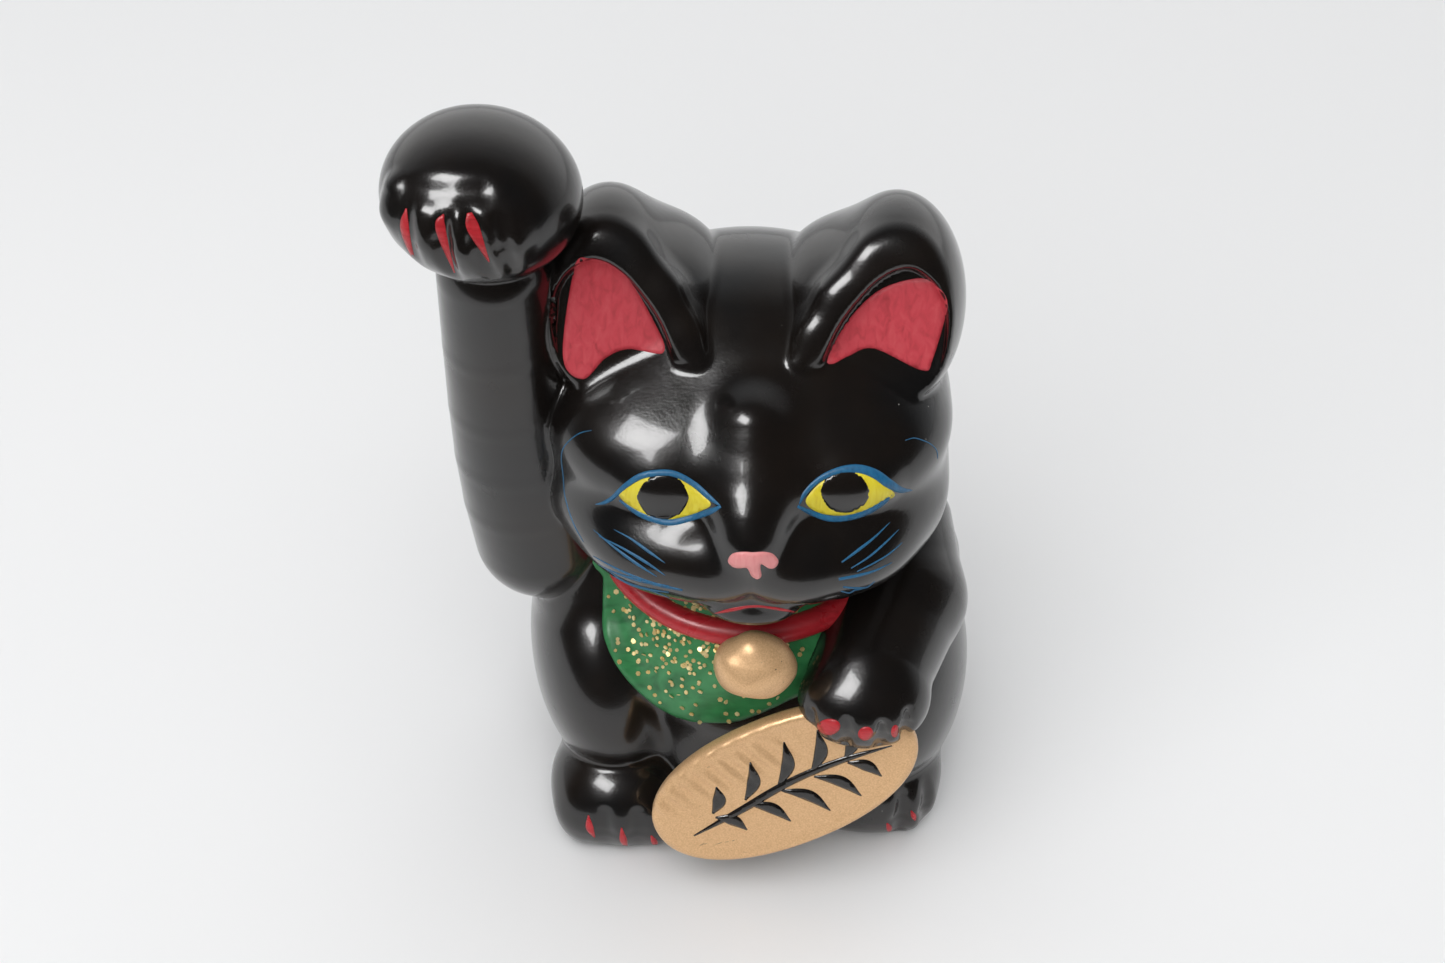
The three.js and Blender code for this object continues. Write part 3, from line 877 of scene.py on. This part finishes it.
LINERS = [
    [(-31.6, 3.2, 0.1), (-29.9, 3.5, 0.7), (-27.9, 4.5, 0.9), (-25.2, 6.9, 1.1), (-22.0, 9.0, 1.3),
     (-18.4, 9.8, 1.4), (-14.5, 9.6, 1.3), (-10.5, 7.5, 1.2), (-7.4, 4.8, 1.1), (-5.1, 3.1, 0.3)],
    [(-26.3, 4.1, 0.3), (-22.7, 1.6, 1.1), (-19.1, 0.1, 1.3), (-15.2, -0.5, 1.4), (-10.6, 0.6, 1.3),
     (-7.2, 1.8, 1.3), (-4.9, 2.9, 0.5)],
    [(11.5, 3.3, 0.3), (12.5, 5.4, 0.9), (14.6, 7.7, 1.1), (17.2, 9.4, 1.3), (20.5, 10.5, 1.6),
     (23.9, 10.7, 1.8), (27.3, 9.6, 2.0), (30.1, 7.7, 2.0), (33.0, 6.3, 1.3), (35.7, 6.2, 0.1)],
    [(11.1, 2.9, 0.6), (14.3, 1.4, 1.1), (18.0, 0.3, 1.3), (22.0, 0.5, 1.3), (26.1, 1.8, 1.3),
     (29.3, 3.7, 1.1), (31.0, 5.2, 0.3)],
]
film("eye_liner", [ribbon(s) for s in LINERS], seen, BLUE, 0.18, 0.5, 0.5)
WHISKERS = [
    [(-27.5, -2.1, 0.1), (-23.9, -4.0, 0.4), (-20.2, -6.6, 0.6), (-16.6, -9.1, 0.1)],
    [(-30.9, -3.5, 0.1), (-26.1, -5.8, 0.4), (-21.1, -8.7, 0.6), (-16.6, -11.7, 0.1)],
    [(-32.0, -2.2, 0.1), (-27.8, -5.6, 0.4), (-23.1, -9.0, 0.6), (-18.4, -12.0, 0.1)],
    [(-32.3, -7.9, 0.1), (-26.3, -10.8, 0.4), (-19.7, -13.4, 0.7), (-13.0, -14.9, 0.4)],
    [(-31.3, -9.8, 0.1), (-26.3, -11.8, 0.4), (-21.0, -13.2, 0.6), (-15.8, -14.1, 0.3)],
    [(-29.3, -10.8, 0.1), (-25.4, -13.4, 0.4), (-20.7, -14.8, 0.4), (-15.9, -15.5, 0.2)],
    [(-28.0, -12.3, 0.1), (-24.0, -14.2, 0.3), (-19.8, -15.2, 0.3), (-15.9, -16.8, 0.2)],
    [(-32.1, 18.8, 0.1), (-34.5, 18.3, 0.2), (-36.7, 16.9, 0.2), (-38.5, 14.9, 0.2), (-39.0, 12.3, 0.2),
     (-38.8, 8.6, 0.2), (-38.6, 5.4, 0.2), (-37.6, 1.7, 0.2), (-36.3, -1.6, 0.2), (-34.4, -4.9, 0.1)],
    [(20.5, -8.9, 0.3), (24.1, -6.3, 0.6), (27.6, -3.6, 0.4), (30.8, -0.6, 0.1)],
    [(22.5, -10.2, 0.2), (26.2, -7.9, 0.4), (29.6, -5.1, 0.4), (32.8, -2.1, 0.1)],
    [(23.8, -10.9, 0.2), (27.3, -9.2, 0.3), (30.6, -7.3, 0.3), (33.6, -4.9, 0.1)],
    [(19.9, -12.5, 0.6), (23.9, -11.8, 0.6), (27.6, -10.8, 0.4), (31.4, -9.1, 0.1)],
    [(20.9, -14.2, 0.3), (23.6, -14.5, 0.4), (26.1, -14.4, 0.3), (27.8, -13.1, 0.1)],
    [(20.5, -15.1, 0.2), (22.4, -15.6, 0.3), (23.4, -15.0, 0.3), (25.1, -14.8, 0.1)],
    [(33.8, 16.7, 0.1), (35.6, 17.2, 0.2), (37.4, 16.8, 0.2), (39.4, 16.0, 0.2), (40.9, 14.6, 0.2),
     (41.2, 12.9, 0.1)],
]
film("whiskers", [ribbon(s) for s in WHISKERS], seen, BLUE, 0.06, 0.3, 0.5)
NOSE = [
    (-3.4, -8.7), (-3.0, -7.4), (-1.9, -6.7), (0.0, -6.5), (1.8, -6.6), (3.9, -6.5), (5.8, -6.9),
    (6.9, -8.0), (7.1, -8.9), (6.3, -10.0), (5.0, -10.0), (3.5, -9.1), (3.4, -10.2), (3.6, -11.7),
    (2.8, -12.4), (1.5, -11.7), (0.6, -10.0), (-0.9, -10.0), (-2.3, -9.8),
]
film("nose", [smooth(NOSE, True, 0.35)], seen, PINK, 0.3, 0.9, 0.5)
MOUTH = [
    (-6.2, -20.2, 0.1), (-4.2, -19.7, 0.6), (-2.1, -19.2, 0.8), (0.3, -18.7, 0.6), (2.6, -18.5, 0.5),
    (4.8, -18.7, 0.5), (7.2, -19.1, 0.6), (9.3, -19.5, 0.5), (11.5, -20.0, 0.1)]
film("mouth", [ribbon(MOUTH)], seen, RED, 0.1, 0.4, 0.5)
CLAW_STROKES = [
    [(-67.3, 62.2, 0.3), (-67.8, 58.5, 1.9), (-66.6, 52.0, 0.3)],
    [(-59.6, 60.8, 0.3), (-60.3, 58.1, 2.0), (-58.3, 50.0, 0.3)],
    [(-54.4, 61.0, 1.0), (-53.7, 58.0, 2.5), (-51.0, 51.8, 0.3)],
    [(-35.7, -69.5, 0.3), (-35.5, -72.5, 1.8), (-34.4, -75.2, 0.3)],
    [(-28.0, -72.4, 0.3), (-27.7, -75.6, 1.7), (-27.0, -78.2, 0.3)],
    [(-21.2, -74.6, 0.3), (-20.5, -76.5, 1.5), (-20.2, -78.2, 0.3)],
    [(34.0, -72.0, 0.3), (34.7, -73.5, 1.4), (35.0, -75.0, 0.3)],
    [(39.6, -69.0, 0.3), (40.3, -70.4, 1.2), (40.8, -71.6, 0.3)],
]
claws = [ribbon(s, 0.4) for s in CLAW_STROKES]
claws.append(oval(18.8, -45.8, 2.5, 1.9, 0.2, 24))
claws.append(oval(26.8, -47.1, 1.7, 1.6, 0.4, 24))
claws.append(oval(33.3, -46.7, 0.9, 1.5, 0, 24))
film("claws", claws, seen, RED, 0.15, 0.6, 0.6)

BIB = [
    (-31.5, -8.0), (-31.5, -13.5), (-31.6, -18.3), (-31.6, -25.9), (-29.4, -32.1), (-25.2, -38.2),
    (-19.1, -43.8), (-12.9, -46.4), (-7.4, -46.9), (-1.7, -46.5), (3.9, -44.5), (10.7, -41.2),
    (15.0, -39.0), (17.4, -34.3), (21.4, -27.5), (23.8, -23.0), (22.5, -17.0),
]
bib_outline = smooth(BIB, True, 0.8)


def chest(p):
    return whole(p, ("body",))


def on_chest(u, w):
    start = FACE + u[:, None] * RIGHT + w[:, None] * UPWARD + 150 * BACK
    return land(chest, start.astype(np.float32), -BACK)


film("chest_bib", [bib_outline], on_chest, GREEN, 0.9, 1.6, 0.9, ("chest_bib",))


def glitter_flakes(count=290):
    """Hexagonal flakes, strewn over the bib and thicker beside the bell."""
    draw = np.random.default_rng(7)
    spots = []
    while len(spots) < count:
        if draw.random() < 0.55:
            spot = draw.normal((-12, -25), (7, 7))
        else:
            spot = draw.uniform((-32, -46), (24, -15))
        if inside_outline(spot[None], bib_outline)[0] and from_outline(spot[None], bib_outline)[0] > 0.8:
            spots.append(spot)
    spots = np.array(spots)
    centres, normals = on_chest(spots[:, 0], spots[:, 1])
    points, faces = [], []
    for centre, normal in zip(centres, normals):
        tilted = unit(normal + draw.normal(0, 0.28, 3))
        across = unit(np.cross(tilted, draw.normal(0, 1, 3)))
        other = np.cross(tilted, across)
        size, start = draw.uniform(0.40, 0.66), len(points) * 12
        ring = [math.cos(a) * across + math.sin(a) * other for a in np.arange(6) * math.pi / 3]
        middle = centre + normal * 1.08
        points.append(np.array([middle + r * size + tilted * h for h in (0.1, -0.1) for r in ring]))
        faces.append([start + i for i in range(6)])
        faces.append([start + i for i in range(11, 5, -1)])
        faces += [[start + (i + 1) % 6, start + i, start + i + 6, start + (i + 1) % 6 + 6] for i in range(6)]
    flakes = add_piece("bib_glitter", np.concatenate(points), faces, GLITTER)
    flakes.data.shade_flat()


glitter_flakes()


def sprig():
    """A stem with pairs of leaves, as raised black strokes along the coin."""
    strokes = [[(-25, -3, 0.4), (-12, -1.5, 1.9), (2, 0.5, 2.0), (15, 0.5, 1.7), (27, -1, 0.3)]]
    for u, long in ((-18, 7.5), (-9.5, 10), (-1, 11.5), (7.5, 11), (16, 8)):
        for side in (1, -1):
            root = (u, side * 0.6)
            middle = (u + long * 0.42, side * long * 0.42)
            tip = (u + long * 0.62, side * long * 0.95)
            strokes.append([(*root, 0.5), (*middle, 3.1), (*tip, 0.3)])
    return [ribbon(s, 0.5) for s in strokes]


film("coin_sprig", sprig(), on_coin, INK, 0.35, 0.7, 0.7)

# ---------------------------------------------------------------- base stopper


def lathe(profile, segments):
    """A profile of (radius, height) from the axis and back to it, turned round the base hole."""
    points, faces = [], []
    for radius, height in profile:
        for i in range(segments):
            a = i / segments * 2 * math.pi
            points.append((radius * math.cos(a), HOLE_Y + radius * math.sin(a), height))
    for row in range(len(profile) - 1):
        for i in range(segments):
            a, b = row * segments + i, row * segments + (i + 1) % segments
            faces.append((a, b, b + segments, a + segments))
    faces.append(tuple(range(segments))[::-1])
    faces.append(tuple(range((len(profile) - 1) * segments, len(profile) * segments)))
    return points, faces


PLUG = [
    (4.8, 1.35), (5.0, 0.95), (5.4, 0.7), (11.6, 0.7), (12.0, 0.5), (12.4, 0.42), (17.3, 0.42),
    (17.9, 0.6), (18.15, 1.0), (18.15, 1.6), (17.9, 1.95), (17.3, 2.08), (14.9, 2.1), (14.55, 2.3),
    (14.45, 3.4), (14.6, 4.0), (14.65, 4.5), (14.5, 5.0), (14.2, 5.6), (14.1, 6.6), (14.3, 7.2),
    (14.35, 7.7), (14.15, 8.3), (13.9, 8.9), (13.75, 10.2), (13.6, 11.8), (13.3, 12.6), (12.7, 13.0),
    (12.0, 13.0), (11.5, 12.7), (11.3, 12.1), (11.0, 6.0), (10.7, 5.3), (10.0, 5.0), (4.6, 5.0),
    (4.0, 4.8),
]
points, faces = lathe(PLUG, 72)
add_piece("base_stopper", points, faces, RUBBER, ("base_stopper",), "stopper")

# ---------------------------------------------------------------- floor, light and camera


def studio():
    mesh = bpy.data.meshes.new("floor")
    half = 3
    near = -0.34  # the sheet ends in front, where the room is dark
    corners = [(-half, near, 0), (half, near, 0), (half, half, 0), (-half, half, 0)]
    mesh.from_pydata(corners, [], [(0, 1, 2, 3)])
    floor = bpy.data.objects.new("floor", mesh)
    bpy.context.scene.collection.objects.link(floor)
    made, tree, shader = material("paper", Roughness=0.9, Specular_IOR_Level=0.1)
    cloud = noise(tree, 400, 2.0)
    feed(tree, shader, Base_Color=ramp(tree, cloud, (0.3, (0.86, 0.865, 0.87)), (0.7, (0.88, 0.88, 0.885))))
    mesh.materials.append(made)


def aim(thing, position, target):
    thing.location = position
    thing.rotation_mode = "QUATERNION"
    thing.rotation_quaternion = (Vector(target) - Vector(position)).to_track_quat("-Z", "Y")


def area_light(name, azimuth, elevation, distance, width, height, power, glossy=True, diffuse=True):
    light = bpy.data.lights.new(name, "AREA")
    light.shape = "RECTANGLE"
    light.size, light.size_y, light.energy = width, height, power
    lamp = bpy.data.objects.new(name, light)
    lamp.visible_glossy = glossy
    lamp.visible_diffuse = diffuse
    a, e = math.radians(azimuth), math.radians(elevation)
    middle = Vector((0, 0, 0.09))
    away = Vector((math.sin(a) * math.cos(e), -math.cos(a) * math.cos(e), math.sin(e)))
    aim(lamp, middle + away * distance, middle)
    bpy.context.scene.collection.objects.link(lamp)


def sky():
    """Bright behind and overhead, and dark on the side that the cat faces."""
    world = bpy.data.worlds.new("studio")
    bpy.context.scene.world = world
    world.use_nodes = True
    tree = world.node_tree
    back = tree.nodes["Background"]
    where = add_node(tree, "ShaderNodeTexCoord").outputs["Generated"]
    dark_side = (0.0, -0.95, 0.31)
    facing = add_node(tree, "ShaderNodeVectorMath", {0: where, 1: dark_side}, operation="DOT_PRODUCT")
    front = add_node(tree, "ShaderNodeMath", {0: facing.outputs["Value"], 1: 0.6}, operation="ADD").outputs[0]
    shade = ramp(tree, front, (0.0, (1.0, 1.0, 1.0)), (0.35, (0.42, 0.43, 0.44)), (0.75, (0.03, 0.03, 0.03)))
    path = add_node(tree, "ShaderNodeLightPath").outputs["Is Camera Ray"]
    tree.links.new(mix(tree, path, shade, (0.88, 0.88, 0.885)), back.inputs["Color"])
    back.inputs["Strength"].default_value = 1.0


CAMERA_SPOT = (13.08, -441.71, 505.24)
SENSOR, LENS = 36, 67.27


def camera():
    data = bpy.data.cameras.new("camera")
    data.sensor_width = SENSOR
    data.lens = LENS
    thing = bpy.data.objects.new("camera", data)
    right, up, back = (Vector(tuple(map(float, a))) for a in (RIGHT, UPWARD, BACK))
    spot = Vector(CAMERA_SPOT) * MM + Vector(tuple(FOOT))
    turned = Matrix((right, up, back)).transposed().to_4x4()
    thing.matrix_world = Matrix.Translation(spot) @ turned
    bpy.context.scene.collection.objects.link(thing)
    bpy.context.scene.camera = thing


studio()
area_light("window", -42, 49, 1.1, 0.52, 0.38, 8.5, diffuse=False)
area_light("softbox", -22, 45, 1.8, 2.2, 2.2, 26, glossy=False)
area_light("overhead", 30, 84, 2.4, 3.2, 3.2, 40, glossy=False)
sky()
camera()
bpy.context.scene.view_settings.view_transform = "Standard"
